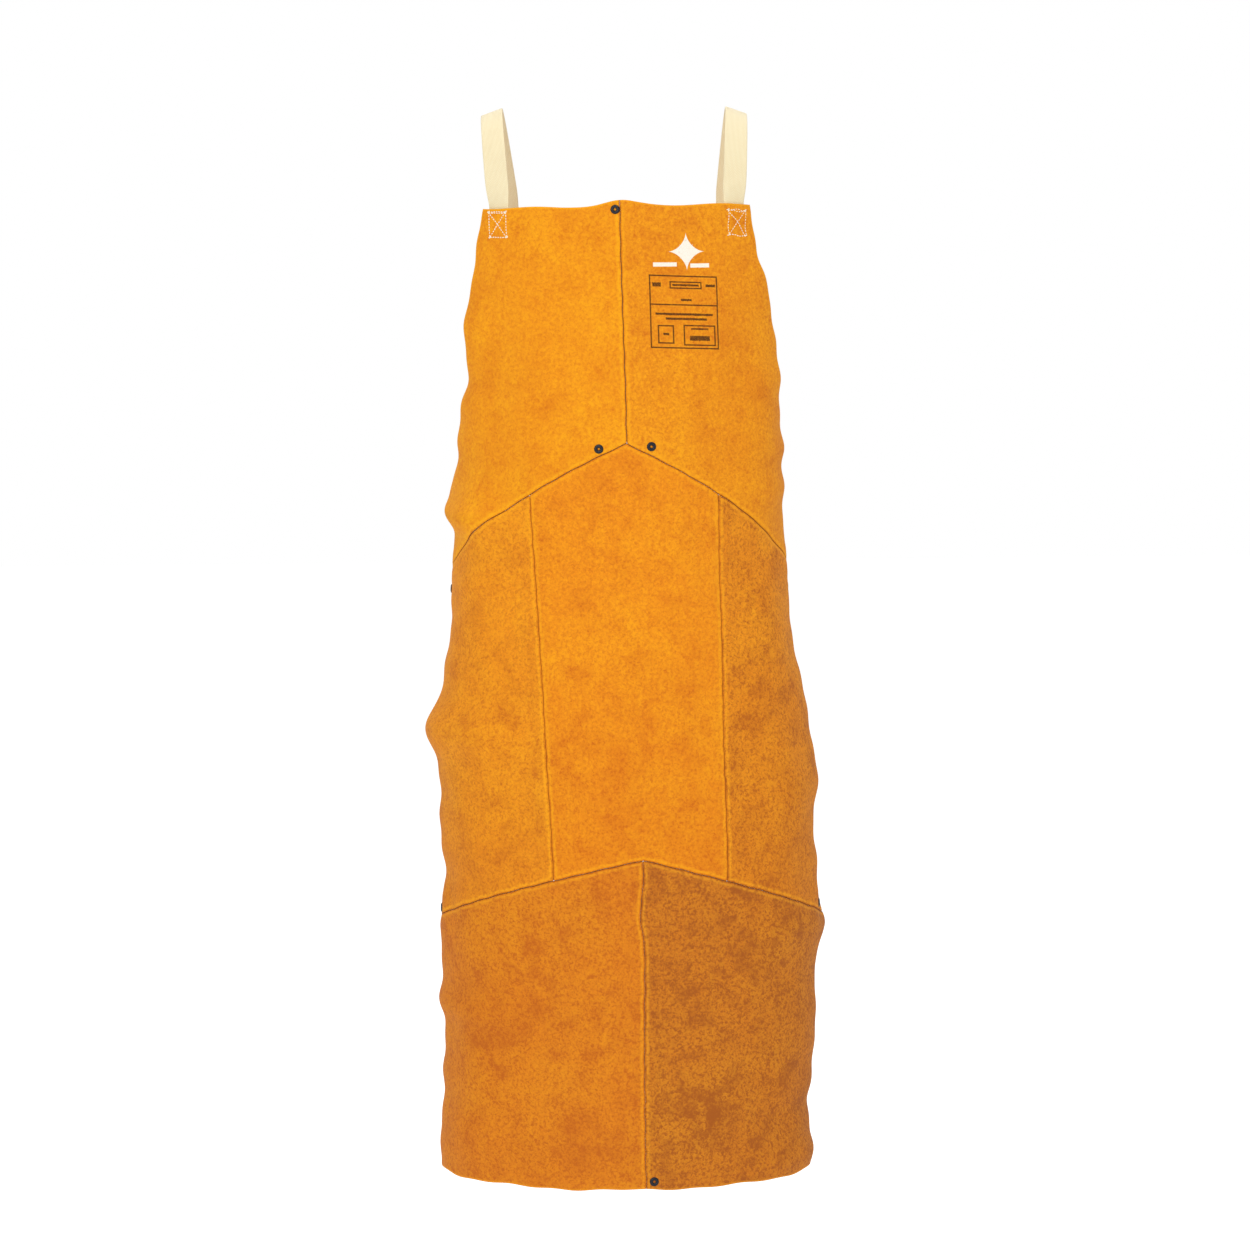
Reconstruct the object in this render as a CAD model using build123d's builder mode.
from build123d import *
import math
import os

# A split-leather welding apron, kept in the form it takes when worn.
# +X is the viewer's right of someone looking at its front, which faces -Y, and +Z is up.
# The origin lies between the shoulders, level with the top of the two shoulder straps.
# In names, left is the -X side and right is the +X side.

os.makedirs("parts", exist_ok=True)

# Driving dimensions, in millimetres
leather = 1.4  # thickness of one layer of split cowhide
bib_top = -103
hem = -1172
flat_half_width = 305  # half of the 610 mm (24 in) width of body and skirt, laid flat
bib_half_width = 153  # half the width of the bib at its top edge, laid flat
seam_allowance = 15  # turned back inside on each side of a seam
seam_valley = 0.5  # half the gap between the two turned allowances
thread = 0.7
webbing_width = 25
webbing = 1.6

# The wearer's outline behind the leather: height, half width across, half depth,
# sideways shift of the middle, turn of the hips in degrees, and flat half width.
stations = [
    (hem, 208, 138, 1, 4, flat_half_width),
    (-1040, 205, 137, 4, 4, flat_half_width),
    (-915, 212, 138, 8, 3.5, flat_half_width),
    (-815, 207, 136, 7, 3.5, flat_half_width),
    (-700, 210, 135, 2, 3, flat_half_width),
    (-540, 187, 126, -1, 2, flat_half_width),
    (-470, 184, 125, -1, 1.5, 300),
    (-390, 184, 125, -1, 1.2, 238),
    (-300, 183, 122, 2, 0.8, 201),
    (-200, 182, 114, 2, 0, 182),
    (bib_top, 180, 104, -1, 0, bib_half_width),
]


def edge_angle(half_across, half_deep, length):
    """Angle from the front at which that length along the ellipse ends, in degrees."""
    step = 0.25
    angle = 0
    covered = 0
    while covered < length:
        middle = math.radians(angle + step / 2)
        slope = math.hypot(half_across * math.cos(middle), half_deep * math.sin(middle))
        covered += slope * math.radians(step)
        angle += step
    return angle


def body_at(height):
    """Half width, half depth, shift and turn of the wearer's outline at that height."""
    for lower, upper in zip(stations, stations[1:]):
        if height <= upper[0]:
            break
    part_way = min(1, (height - lower[0]) / (upper[0] - lower[0]))
    return [low + part_way * (high - low) for low, high in zip(lower[1:5], upper[1:5])]


def on_body(side, length, height, outward=0):
    """A point that length round the wearer from the front middle, and the way out there."""
    across, deep, shift, turn = body_at(height)
    angle = math.radians(turn + side * edge_angle(across, deep, length))
    out = Vector(math.sin(angle) / across, -math.cos(angle) / deep, 0).normalized()
    return Vector(shift + across * math.sin(angle), -deep * math.cos(angle), height) + out * outward, out


def leather_layer(outer_inset, inner_inset):
    """A layer that wraps the front and both sides, between two depths in the leather."""
    with BuildPart() as layer:
        for height, across, deep, shift, turn, half_width in stations:
            reach = edge_angle(across, deep, half_width)
            start = -90 + turn - reach
            with BuildSketch(Plane.XY.offset(height)):
                with BuildLine():
                    outer = EllipticalCenterArc(
                        (shift, 0), across - outer_inset, deep - outer_inset, start, arc_size=2 * reach
                    )
                    inner = EllipticalCenterArc(
                        (shift, 0), across - inner_inset, deep - inner_inset, start, arc_size=2 * reach
                    )
                    Line(outer @ 0, inner @ 0)
                    Line(outer @ 1, inner @ 1)
                make_face()
        loft(ruled=True)
    return layer.part


def seam_plane(point, rise_across, rise_back):
    """A tilted plane through a seam, with its upper side facing up."""
    return Plane(origin=point, z_dir=Vector(-rise_across, -rise_back, 1))


def upright_plane(low_x, low_z, high_x, high_z):
    """A nearly upright plane through a seam, with its upper side facing +X."""
    lean = (high_x - low_x) / (high_z - low_z)
    return Plane(origin=(low_x, 0, low_z), z_dir=Vector(1, 0, -lean))


def turned(plane):
    """The same plane with its other side up."""
    return Plane(origin=plane.origin, x_dir=plane.x_dir, z_dir=-plane.z_dir)


# The seams: two inverted Vs, and four that run down
bib_seam_left = seam_plane((7, -124, -358), 0.455, -0.45)
bib_seam_right = seam_plane((7, -124, -358), -0.455, -0.47)
skirt_seam_left = seam_plane((22, -136, -809), 0.21, -0.245)
skirt_seam_right = seam_plane((22, -136, -809), -0.24, -0.245)
bib_centre_seam = upright_plane(8, -356, 2.5, bib_top)
skirt_centre_seam = upright_plane(22, hem, 22, -809)
body_seam_left = upright_plane(-75, -832, -96, -420)
body_seam_right = upright_plane(113, -832, 106, -420)

face_layer = leather_layer(0, leather)
into_face = 0.2  # how far the turned allowances run into the face layer, to be one with it
behind_face = 0.05  # gap between the face layer and the thread
turned_layer = leather_layer(leather - into_face, 2 * leather)
stitch_layer = leather_layer(leather + behind_face, leather + thread)


def cut_out(layer, sides, inset, above=()):
    """The part of a layer below every plane in sides, and above the V of planes in above."""
    with BuildPart() as region:
        add(layer)
        for plane in sides:
            split(bisect_by=plane.offset(-inset), keep=Keep.BOTTOM)
        if above:
            with BuildPart(mode=Mode.PRIVATE) as below_the_v:
                add(layer)
                for plane in above:
                    split(bisect_by=plane.offset(inset), keep=Keep.BOTTOM)
            add(below_the_v.part, mode=Mode.SUBTRACT)
    return region.part


def leather_panel(sides, above=()):
    """One cut piece of leather with its seam allowances turned back inside."""
    with BuildPart() as panel:
        add(cut_out(face_layer, sides, 0, above))
        with BuildPart(mode=Mode.PRIVATE) as allowances:
            add(cut_out(turned_layer, sides, seam_valley, above))
            add(cut_out(turned_layer, sides, seam_allowance, above), mode=Mode.SUBTRACT)
        add(allowances.part)
    return panel.part


# Rivets: side, length round from the front middle, height, and thickness they clamp
double_leather = 2 * leather
tab_stack = 7.9
rivet_spots = [
    (-1, 1.2, -108, double_leather),  # top of the bib
    (-1, 25, -364, double_leather),  # foot of the bib, left and right of its middle seam
    (1, 30.5, -362, double_leather),
    (1, 14.8, -1163, double_leather),  # hem, beside the skirt's middle seam
    (-1, 276, -880, double_leather),  # ends of the skirt seam
    (1, 258, -878, double_leather),
    (-1, 257, -524, tab_stack),  # side tabs
    (1, 257, -524, tab_stack),
]
rivet_hole = 1.6  # radius
punch_start = 2  # the punch starts this far outside the leather
punch_depth = 12
sight = 20  # distance outside the leather from which a rivet's spot is found


def rivet_plane(side, length, height):
    """The plane that touches the leather's outer face at a rivet, facing outwards."""
    near, out = on_body(side, length, height)
    face = face_layer.faces().sort_by_distance(near)[0]
    point, normal = face.find_intersection_points(Axis(near + out * sight, -out))[0]
    return Plane(origin=point, x_dir=Vector(0, 0, 1).cross(normal), z_dir=normal)


rivets = [(rivet_plane(*spot[:3]), spot[3]) for spot in rivet_spots]


def rivet_holes():
    """Cuts the rivets' holes in the part being built."""
    for plane, _ in rivets:
        with Locations(plane.offset(punch_start)):
            Hole(radius=rivet_hole, depth=punch_depth)


def finish_leather(name, shape):
    """Punches the rivet holes in a panel and writes it."""
    with BuildPart() as panel:
        add(shape)
        rivet_holes()
    write(name, panel)


def write(name, piece):
    """Labels a finished piece and writes its STEP file."""
    piece.part.label = name
    export_step(piece.part, f"parts/{name}.step")


skirt_top = (skirt_seam_left, skirt_seam_right)
finish_leather("bib_panel_left", leather_panel([bib_centre_seam, turned(bib_seam_left)]))
finish_leather("bib_panel_right", leather_panel([turned(bib_centre_seam), turned(bib_seam_right)]))
finish_leather(
    "body_centre_panel",
    leather_panel(
        [bib_seam_left, bib_seam_right, turned(body_seam_left), body_seam_right], skirt_top
    ),
)
finish_leather(
    "body_side_panel_left",
    leather_panel([bib_seam_left, body_seam_left, turned(skirt_seam_left)]),
)
finish_leather(
    "body_side_panel_right",
    leather_panel([bib_seam_right, turned(body_seam_right), turned(skirt_seam_right)]),
)
finish_leather("skirt_panel_left", leather_panel([*skirt_top, skirt_centre_seam]))
finish_leather("skirt_panel_right", leather_panel([*skirt_top, turned(skirt_centre_seam)]))


# The thread that closes each seam, lying between the two turned allowances
def stitch_line(seam, ends, end_gap=seam_valley):
    """A line of thread along one seam plane, stopping short of the planes in ends."""
    line = cut_out(stitch_layer, [seam, turned(seam)], -thread / 2)
    return cut_out(line, ends, end_gap)


def seam_thread(name, *lines):
    with BuildPart() as stitched:
        for line in lines:
            add(line)
    write(name, stitched)


bib_thread_gap = 4  # between the foot of the bib's middle thread and the seams below it
seam_thread(
    "bib_centre_thread",
    cut_out(
        cut_out(stitch_layer, [bib_centre_seam, turned(bib_centre_seam)], -thread / 2),
        [Plane(origin=(0, 0, bib_seam_left.origin.Z + bib_thread_gap), z_dir=(0, 0, -1))],
        0,
    ),
)
seam_thread(
    "bib_foot_thread",
    stitch_line(bib_seam_left, [bib_centre_seam], 0),
    stitch_line(bib_seam_right, [turned(bib_centre_seam)], 0),
)
seam_thread(
    "body_thread_left", stitch_line(body_seam_left, [bib_seam_left, turned(skirt_seam_left)])
)
seam_thread(
    "body_thread_right", stitch_line(body_seam_right, [bib_seam_right, turned(skirt_seam_right)])
)
seam_thread(
    "skirt_top_thread",
    stitch_line(skirt_seam_left, [skirt_centre_seam], 0),
    stitch_line(skirt_seam_right, [turned(skirt_centre_seam)], 0),
)
seam_thread("skirt_centre_thread", stitch_line(skirt_centre_seam, skirt_top))


# Rivets: a domed ring outside, a tubular post through the layers, and a washer inside
ring_radius = 5
ring_hole = 2
ring_height = 1.9
post_radius = 1.5
washer_radius = 4.5
washer_thickness = 0.7
washer_gap = 0.25  # room for the curve of the leather under a flat washer


def rivet_part(name, outline):
    """Turns a half outline, of radius and height, about each rivet's axis."""
    with BuildPart() as turned_pieces:
        for plane, stack in rivets:
            upright = Plane(origin=plane.origin, x_dir=plane.x_dir, z_dir=-plane.y_dir)
            with BuildSketch(upright):
                with BuildLine():
                    outline(stack)
                make_face()
            revolve(axis=Axis(plane.origin, plane.z_dir))
    write(name, turned_pieces)


def ring_outline(stack):
    ThreePointArc((ring_hole, 0.9), ((ring_hole + ring_radius) / 2, ring_height), (ring_radius, 0.3))
    Polyline((ring_radius, 0.3), (ring_radius, 0.02), (ring_hole, 0.02), (ring_hole, 0.9))


def post_outline(stack):
    washer_face = -stack - washer_gap - washer_thickness
    Polyline(
        (0, 0.5),
        (1, 0.5),
        (1.3, 0.85),
        (ring_hole - 0.1, 0.6),
        (ring_hole - 0.1, 0.1),
        (post_radius, 0.1),
        (post_radius, washer_face - 0.05),
        (2.3, washer_face - 0.05),
        (2.3, washer_face - 0.45),
        (0, washer_face - 0.45),
        close=True,
    )


def washer_outline(stack):
    outer_face = -stack - washer_gap
    Polyline(
        (rivet_hole, outer_face),
        (washer_radius, outer_face),
        (washer_radius, outer_face - washer_thickness),
        (rivet_hole, outer_face - washer_thickness),
        close=True,
    )


rivet_part("rivet_rings", ring_outline)
rivet_part("rivet_posts", post_outline)
rivet_part("rivet_washers", washer_outline)


# The boxed cross of stitching that holds each strap to the back of the bib
box_size = (22, 28)
box_middle_height = -123
strap_middle = 129.5  # half the distance between the straps, at the top of the bib
stitch_width = 0.9
thread_rise = 0.55
thread_gap = 0.03
raised_thread = leather_layer(-thread_rise, -thread_gap)
in_front = 30  # plane from which the pattern is cut back through the bib's face
cut_back = 100
diagonal = math.hypot(*box_size) - stitch_width
diagonal_angle = math.degrees(math.atan2(box_size[1], box_size[0]))

for side, name in ((-1, "box_stitching_left"), (1, "box_stitching_right")):
    with BuildPart() as box_stitching:
        with BuildSketch(Plane.XZ.offset(in_front)):
            with Locations((side * strap_middle, box_middle_height)):
                Rectangle(*box_size)
                Rectangle(*[size - 2 * stitch_width for size in box_size], mode=Mode.SUBTRACT)
                Rectangle(diagonal, stitch_width, rotation=diagonal_angle)
                Rectangle(diagonal, stitch_width, rotation=-diagonal_angle)
        extrude(amount=cut_back)
        add(raised_thread, mode=Mode.INTERSECT)
    write(name, box_stitching)


# The straight run at each side of the waist, which the buckle lies on
tab_inset = 6.1  # depth of the middle of the doubled webbing behind the leather's face
run_start = (306, -460.5)
run_end = (398, -342.5)
run_slope = (run_end[1] - run_start[1]) / (run_end[0] - run_start[0])


class WaistRun:
    """A straight line up and back from the leather's side edge, with its two directions."""

    def __init__(self, side):
        self.side = side
        self.start, _ = on_body(side, *run_start, -tab_inset)
        self.end, _ = on_body(side, *run_end, 1)
        middle = [(low + high) / 2 for low, high in zip(run_start, run_end)]
        _, out = on_body(side, *middle)
        self.up = (self.end - self.start).normalized()
        self.across = self.up.cross(out).normalized()
        self.out = self.across.cross(self.up).normalized()
        self.length = (self.end - self.start).length

    def face(self):
        """Its plane seen from outside: X across the webbing and Y up along it."""
        return Plane(origin=self.start, x_dir=self.across, z_dir=self.out)

    def edge(self):
        """Its plane seen from the webbing's edge: X up along it and Y outwards."""
        return Plane(origin=self.start, x_dir=self.up, z_dir=self.across)

    def at(self, along):
        return self.start + self.up * along


left_run = WaistRun(-1)
right_run = WaistRun(1)


def ribbon(points, outs, thickness):
    """Flat webbing lofted along points, lying square to the way out at each."""
    with BuildPart() as band:
        for index, (point, out) in enumerate(zip(points, outs)):
            before = points[max(index - 1, 0)]
            after = points[min(index + 1, len(points) - 1)]
            along = (after - before).normalized()
            across = along.cross(out).normalized()
            with BuildSketch(Plane(origin=point, x_dir=across, z_dir=along)):
                Rectangle(webbing_width, thickness)
        loft(ruled=True)
    return band.part


# Buckles: distances along the waist run from the leather's edge
socket_foot = 22
socket_mouth = 58
socket_width = 34.5
socket_half_thickness = 5.25
socket_corner = 4
edge_round = 1
bar_top = 26
slot_top = 31
slot_half_width = 13.25
bar_half_thickness = 2
cavity_foot = 33
cavity_half_width = 13.75
cavity_half_thickness = 3.6
notch_foot = 42
notch_half_thickness = 3.0
plug_foot = 58.4
plug_collar_top = 62.5
plug_top = 79
plug_width = 34
plug_half_thickness = 2.6
plug_corner = 3.5
collar_corner = 1.5
collar_step = 0.4  # how much thinner than the socket the collar is on each face
plug_slots = ((63.3, 67), (71, 74.7))
tongue_tip = 37
tongue_half_width = 2.2
tongue_half_thickness = 2.4
flex_line = 57.9  # height of the latch arms' living hinges
arm_middle = 10.5
strap_end_top = 110
tab_doubled_thickness = 3.3
tab_neck = 1.6  # half the thickness where the two layers part to go round the bar


def side_tab(run):
    """Doubled webbing riveted behind the leather's edge, looped round the socket's bar."""
    lengths = [244, 255, 266, 277, 287, 297]
    heights = [run_start[1] - run_slope * (run_start[0] - length) for length in lengths]
    spots = [on_body(run.side, *spot, -tab_inset) for spot in zip(lengths, heights)]
    points = [point for point, _ in spots] + [run.start, run.at(2)]
    outs = [out for _, out in spots] + [run.out, run.out]
    with BuildPart() as tab:
        add(ribbon(points, outs, tab_doubled_thickness))
        with BuildSketch(run.edge()):
            with BuildLine():
                Polyline(
                    (1, -tab_neck),
                    (1, tab_neck),
                    (14, tab_neck),
                    (19.6, 3.95),
                    (26.4, 3.95),
                    (29.4, 1.8),
                    (29.4, -1.8),
                    (26.4, -3.95),
                    (19.6, -3.95),
                    (14, -tab_neck),
                    close=True,
                )
            make_face()
            with BuildLine():
                Polyline(
                    (16, 0),
                    (20.4, 2.3),
                    (25.6, 2.3),
                    (27.8, 1.2),
                    (27.8, -1.2),
                    (25.6, -2.3),
                    (20.4, -2.3),
                    close=True,
                )
            make_face(mode=Mode.SUBTRACT)
        extrude(amount=webbing_width / 2 - 0.05, both=True)
        rivet_holes()
    return tab


def block(face, low, high, mode):
    """A block between two corners, given across, along and out of the waist run."""
    across, along, out = [top - foot for foot, top in zip(low, high)]
    with BuildSketch(face.offset(low[2])) as base:
        with Locations(((low[0] + high[0]) / 2, (low[1] + high[1]) / 2)):
            Rectangle(across, along)
    extrude(base.sketch, amount=out, mode=mode)


def buckle_socket(run):
    """The socket half: a webbing bar at its foot and a flat cavity open at its mouth."""
    face = run.face()
    height = socket_mouth - socket_foot
    deep = socket_half_thickness
    with BuildPart() as socket:
        with BuildSketch(face.offset(-deep)):
            with Locations((0, socket_foot + height / 2)):
                RectangleRounded(socket_width, height, socket_corner)
        extrude(amount=2 * deep)
        fillet(socket.faces().filter_by(Axis(face.origin, face.z_dir)).edges(), edge_round)
        hollows = [
            ((-slot_half_width, bar_top, -deep), (slot_half_width, slot_top, deep)),
            ((-slot_half_width, socket_foot, -deep), (slot_half_width, bar_top, -bar_half_thickness)),
            ((-slot_half_width, socket_foot, bar_half_thickness), (slot_half_width, bar_top, deep)),
            (
                (-cavity_half_width, cavity_foot, -cavity_half_thickness),
                (cavity_half_width, socket_mouth, cavity_half_thickness),
            ),
            (
                (-socket_width / 2, notch_foot, -notch_half_thickness),
                (socket_width / 2, socket_mouth, notch_half_thickness),
            ),
        ]
        for low, high in hollows:
            block(face, low, high, Mode.SUBTRACT)
    return socket


def buckle_plug(run):
    """The plug half: a guide tongue, a collar, and a two-slot frame that grips the strap."""
    face = run.face()
    with BuildPart() as plug:
        with BuildSketch(face.offset(-plug_half_thickness)):
            with Locations((0, (plug_foot + plug_top) / 2)):
                RectangleRounded(plug_width, plug_top - plug_foot, plug_corner)
        extrude(amount=2 * plug_half_thickness)
        fillet(plug.faces().filter_by(Axis(face.origin, face.z_dir)).edges(), edge_round)
        for low, high in plug_slots:
            block(
                face,
                (-slot_half_width, low, -plug_half_thickness),
                (slot_half_width, high, plug_half_thickness),
                Mode.SUBTRACT,
            )
        collar_half_thickness = socket_half_thickness - collar_step
        with BuildSketch(face.offset(-collar_half_thickness)):
            with Locations((0, (plug_foot + plug_collar_top) / 2)):
                RectangleRounded(plug_width, plug_collar_top - plug_foot, collar_corner)
        extrude(amount=2 * collar_half_thickness)
        block(
            face,
            (-tongue_half_width, tongue_tip, -tongue_half_thickness),
            (tongue_half_width, plug_foot + 1, tongue_half_thickness),
            Mode.ADD,
        )
    return plug


def latch_arm(run, side):
    """A springy arm with a press pad that bulges out through the socket's side notch."""
    with BuildPart() as arm:
        with BuildSketch(run.face().offset(-plug_half_thickness)):
            with BuildLine():
                Polyline(
                    (side * 8.8, flex_line),
                    (side * 12.2, flex_line),
                    (side * 13.6, 55.5),
                )
                ThreePointArc((side * 13.6, 55.5), (side * 16.9, 49.5), (side * 13.2, 43.5))
                Polyline(
                    (side * 13.2, 43.5),
                    (side * 12.9, 38.5),
                    (side * 11, 36.5),
                    (side * 9, 38.5),
                    (side * 8.8, flex_line),
                )
            make_face()
        extrude(amount=2 * plug_half_thickness)
    return arm


for side, run in (("left", left_run), ("right", right_run)):
    write(f"side_tab_{side}", side_tab(run))
    write(f"buckle_socket_{side}", buckle_socket(run))
    write(f"buckle_plug_{side}", buckle_plug(run))
    write(f"latch_arm_{side}_front", latch_arm(run, -run.side))
    write(f"latch_arm_{side}_back", latch_arm(run, run.side))
    print(side, "plug axis", run.up, "hinge axis", run.out)
    for arm in (-1, 1):
        print("   arm", arm, run.at(flex_line) + run.across * arm * arm_middle)


# Shoulder straps: sewn behind the bib, over the shoulder, and across the back
# to the buckle at the other side of the waist
strap_inset = 3.5
crest_roll = 0.36  # sideways slope of the shoulder under the strap
crest_middle = {-1: 137, 1: 131}
strap_lift = {-1: 1.2, 1: 4.2}  # the right strap crosses outside the left one


def strap_route(side, run):
    """The strap's middle line and ways out, from behind the bib to the waist run."""
    spots = [
        on_body(side, 136.5, -139, -strap_inset),
        on_body(side, 135.2, -122, -strap_inset),
        on_body(side, 134, bib_top, -strap_inset),
    ]
    front = spots[-1][0]
    back, _ = on_body(run.side, 579, -112, strap_lift[side])
    middle_y = (front.Y + back.Y) / 2
    half_y = (back.Y - front.Y) / 2
    for step in range(1, 12):
        angle = math.radians(15 * step)
        forward = math.cos(angle)
        lift = math.sin(angle)
        edge_x = abs(front.X) if forward > 0 else abs(back.X)
        x = edge_x + (crest_middle[side] - edge_x) * lift
        foot = front.Z if forward > 0 else back.Z
        point = Vector(side * x, middle_y - half_y * forward, foot * (1 - lift))
        out = Vector(side * crest_roll * lift, -forward / half_y * 100, lift).normalized()
        spots.append((point, out))
    spots.append((back, on_body(run.side, 579, -112)[1]))
    for length, height in ((537, -165), (494, -219.6), (441, -287.5)):
        spots.append(on_body(run.side, length, height, strap_lift[side]))
    spots.append((run.end, run.out))
    spots.append((run.at(run.length - 15), run.out))
    spots.append((run.at(strap_end_top + 0.3), run.out))
    return [point for point, _ in spots], [out for _, out in spots]


def strap_end(run):
    """The strap's end: through the plug's two slots, with its tail lying back along it."""
    with BuildPart() as end:
        with BuildSketch(run.edge()):
            with BuildLine():
                Polyline(
                    (strap_end_top, 0),
                    (84, -5.7),
                    (65.15, -5.7),
                    (65.15, 3.8),
                    (72.85, 3.8),
                    (72.85, -3.8),
                    (83, -3.8),
                    (strap_end_top, 2),
                    (run.length, 2),
                )
            trace(line_width=webbing)
        extrude(amount=webbing_width / 2, both=True)
    return end


for side, name, run in ((-1, "left", right_run), (1, "right", left_run)):
    points, outs = strap_route(side, run)
    with BuildPart() as shoulder_strap:
        add(ribbon(points, outs, webbing))
    write(f"shoulder_strap_{name}", shoulder_strap)
    write(f"strap_end_{name}", strap_end(run))
    length = sum((after - before).length for before, after in zip(points, points[1:]))
    print(name, "strap", round(length), "mm, waist run", round(run.length))
